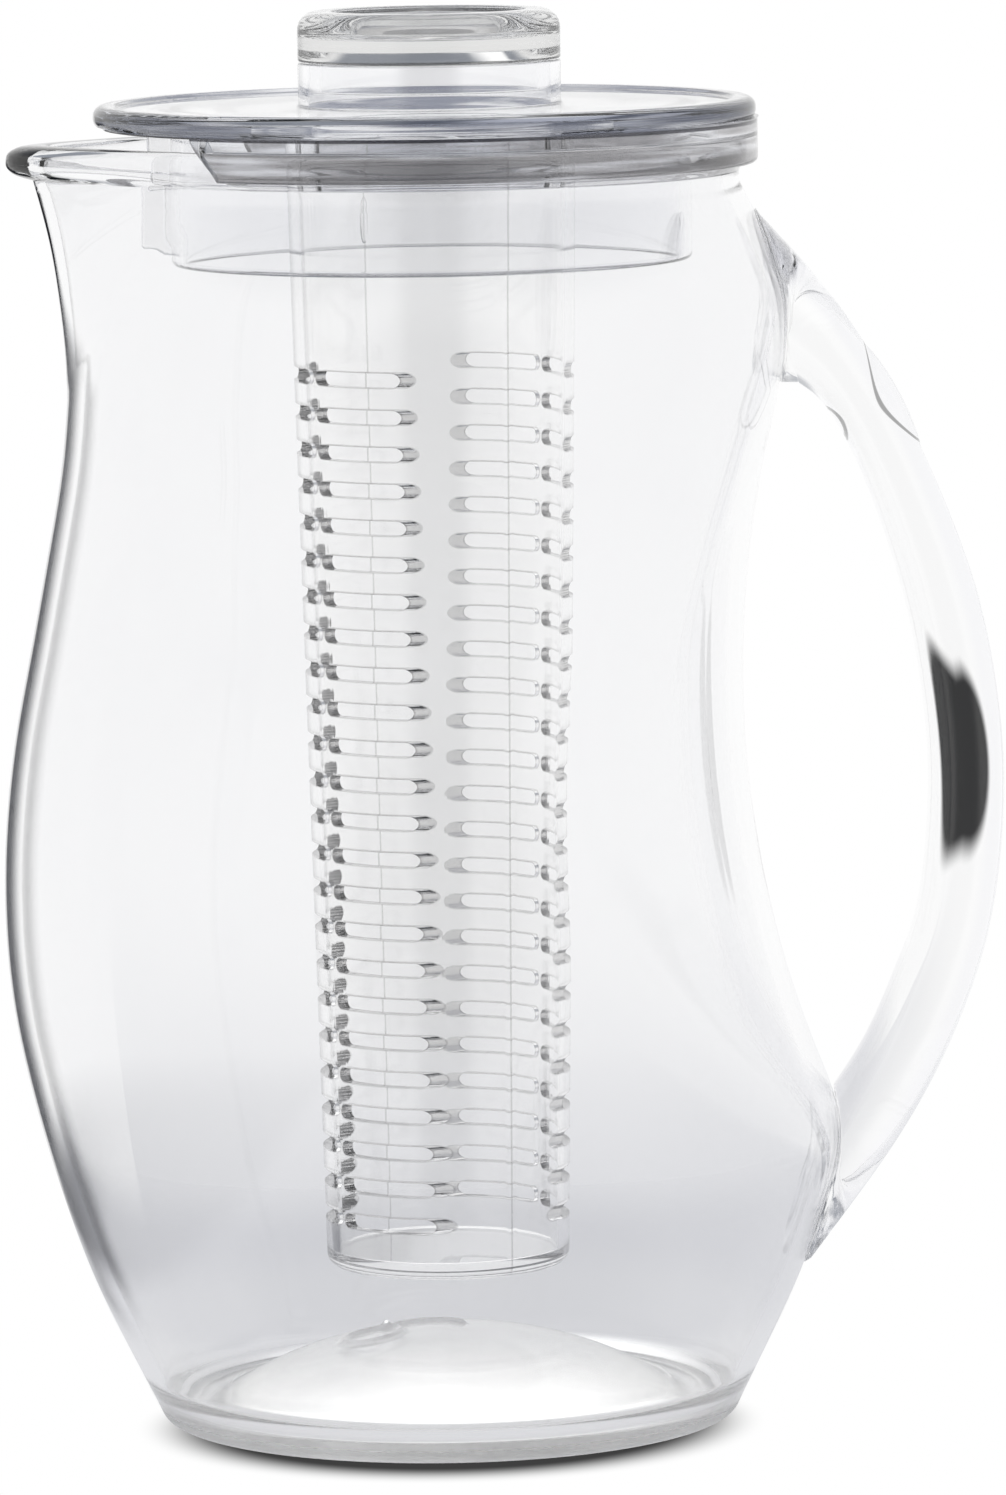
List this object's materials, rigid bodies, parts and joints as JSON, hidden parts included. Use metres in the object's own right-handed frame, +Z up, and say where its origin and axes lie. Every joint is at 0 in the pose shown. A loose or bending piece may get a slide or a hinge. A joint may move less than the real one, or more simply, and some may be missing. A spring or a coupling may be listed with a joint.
{
  "type": "fruit infuser pitcher",
  "caption": "Clear plastic pitcher with spout, finger scoop and bonded handle, plug-in lid with knob cap, and a slotted infuser tube that hangs from the lid.",
  "frame": {"origin": "centre of the standing ring under the jug, on the table", "axes": "+Z up, +X from the jug's axis towards the handle (the spout is at -X), +Y to the back of the pictured view"},
  "size_m": [0.2006, 0.1754, 0.282],
  "materials": {
    "jug_clear": "clear, polished, blown",
    "handle_clear": "clear, polished, solid",
    "lid_clear": "clear, polished, faintly blue",
    "knob_clear": "clear, polished",
    "tube_clear": "clear, lightly frosted"
  },
  "bodies": {
    "jug": {"jug_body": "jug_clear", "handle": "handle_clear"},
    "lid": {"lid": "lid_clear"},
    "cap": {"knob_cap": "knob_clear"},
    "infuser": {"infuser_tube": "tube_clear"}
  },
  "joints": [
    {"name": "lid_lift", "type": "slide", "parent": "jug", "child": "lid", "axis": [0, 0, 1], "range_m": [0, 0.235]},
    {"name": "infuser_turn", "type": "hinge", "parent": "lid", "child": "infuser", "pos_m": [0, 0, 0.255], "axis": [0, 0, 1], "range_deg": [0, 60]},
    {"name": "cap_lift", "type": "slide", "parent": "lid", "child": "cap", "axis": [0, 0, 1], "range_m": [0, 0.02]}
  ]
}
